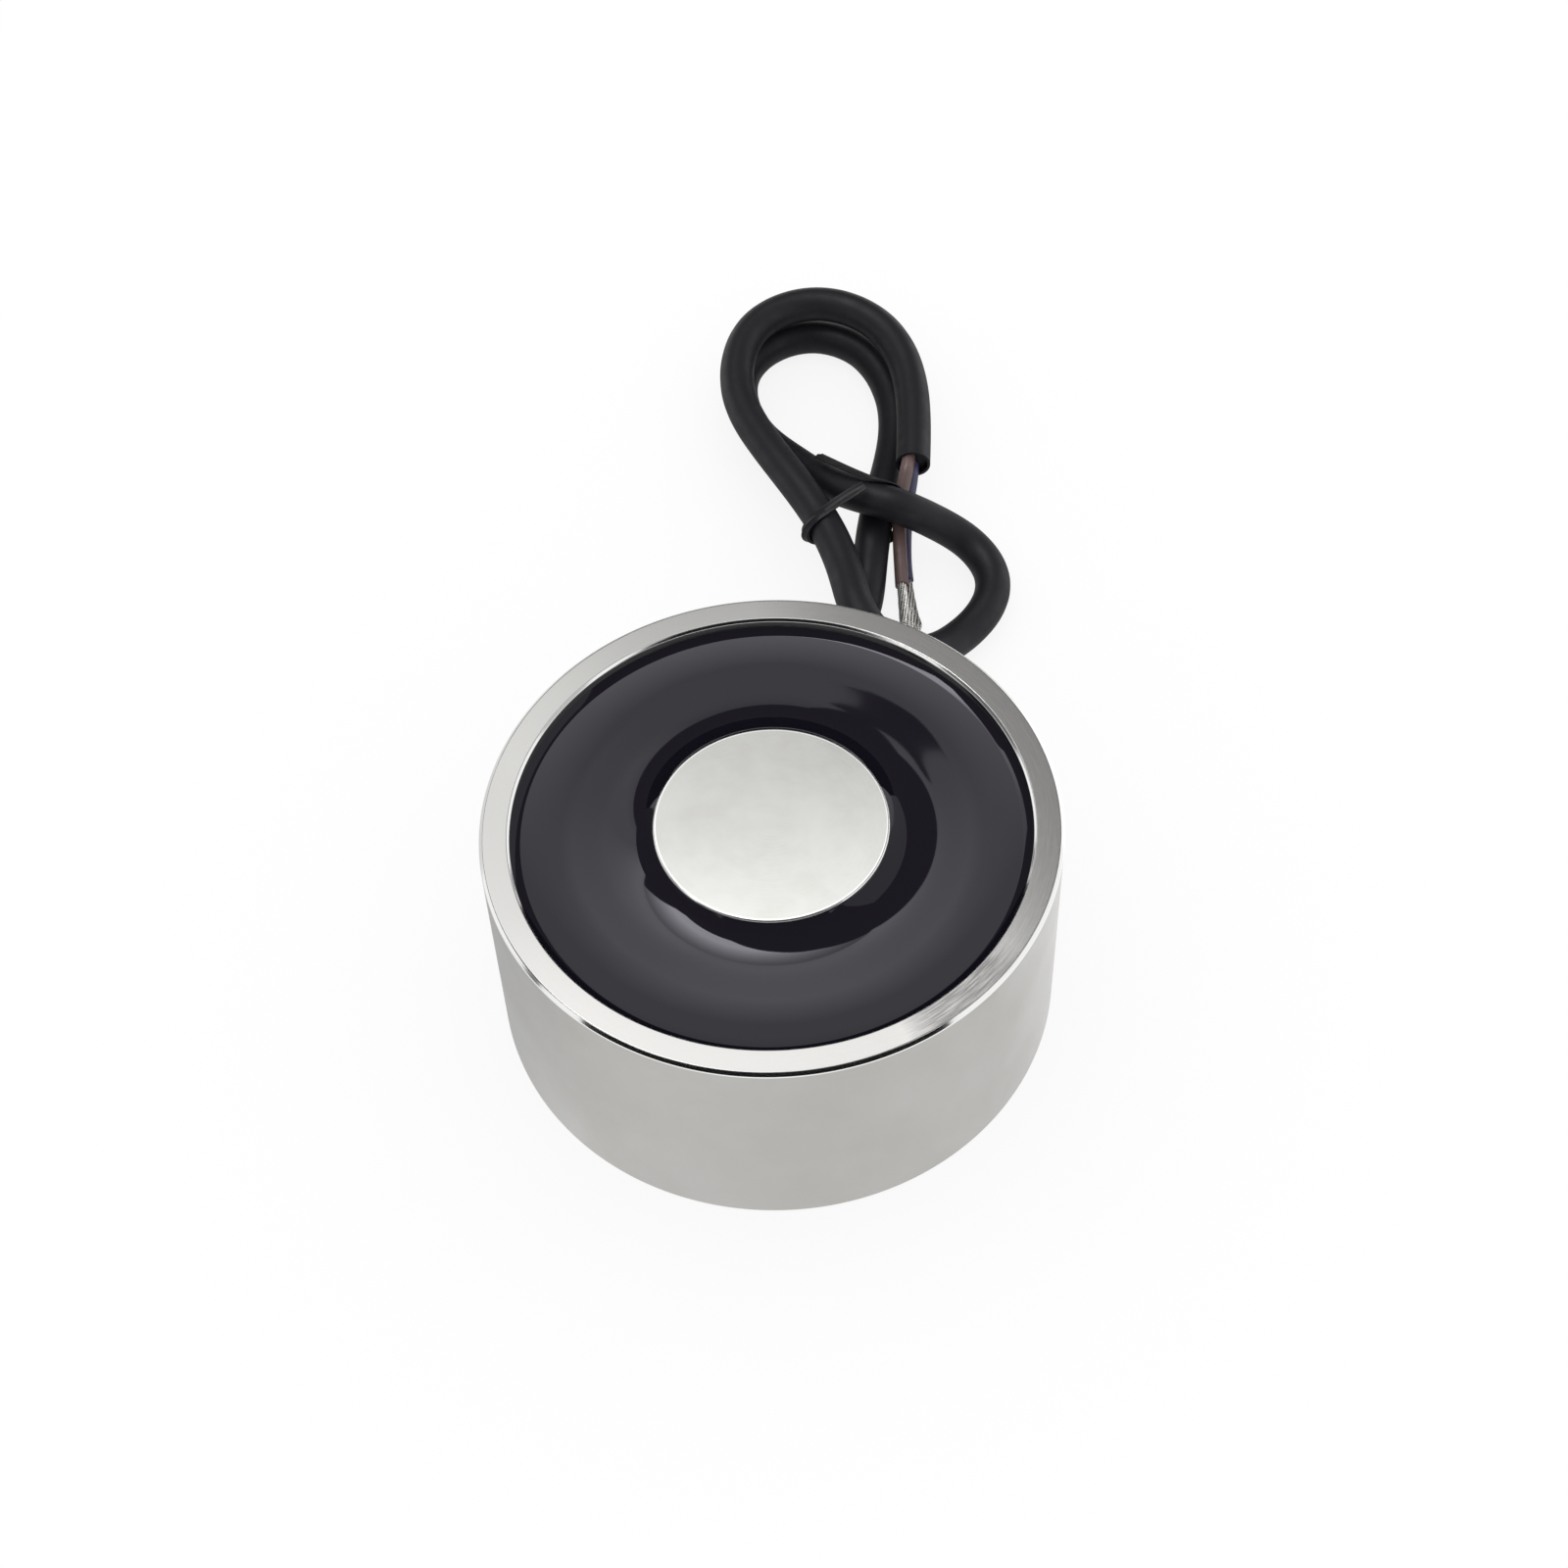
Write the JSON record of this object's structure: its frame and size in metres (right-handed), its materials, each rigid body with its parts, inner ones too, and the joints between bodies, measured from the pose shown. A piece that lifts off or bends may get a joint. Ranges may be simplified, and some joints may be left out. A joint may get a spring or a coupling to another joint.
{
  "type": "holding electromagnet",
  "caption": "Round pot-type holding electromagnet with a centre pole, a resin-potted coil and a tied two-core lead with bare ends.",
  "frame": {"origin": "centre of the back face, which the part stands on", "axes": "+Z out of the holding face, +Y towards the side that the lead leaves, within 10 degrees"},
  "size_m": [0.065, 0.1387, 0.03],
  "materials": {
    "nickel_plated_steel": "turned steel under satin nickel plate",
    "bobbin_plastic": "natural moulded nylon",
    "enamelled_copper": null,
    "polyester_tape": "polyester winding tape",
    "heat_shrink": "heat-shrink sleeve",
    "brown_insulation": "PVC insulation",
    "blue_insulation": "PVC insulation",
    "black_resin": "glossy cast epoxy resin",
    "black_sheath": "semi-matt PVC sheath",
    "tinned_strands": null,
    "black_tie": "plastic-coated twist tie"
  },
  "bodies": {
    "root": {"pot_body": "nickel_plated_steel", "coil_bobbin": "bobbin_plastic", "coil_winding": "enamelled_copper", "winding_tape": "polyester_tape", "coil_start_lead": "enamelled_copper", "coil_finish_lead": "enamelled_copper", "start_splice_sleeve": "heat_shrink", "finish_splice_sleeve": "heat_shrink", "brown_core_inside": "brown_insulation", "blue_core_inside": "blue_insulation", "potting_resin": "black_resin", "cable_sheath": "black_sheath", "brown_core_end": "brown_insulation", "blue_core_end": "blue_insulation", "brown_strands": "tinned_strands", "blue_strands": "tinned_strands", "cable_tie": "black_tie"}
  },
  "joints": []
}
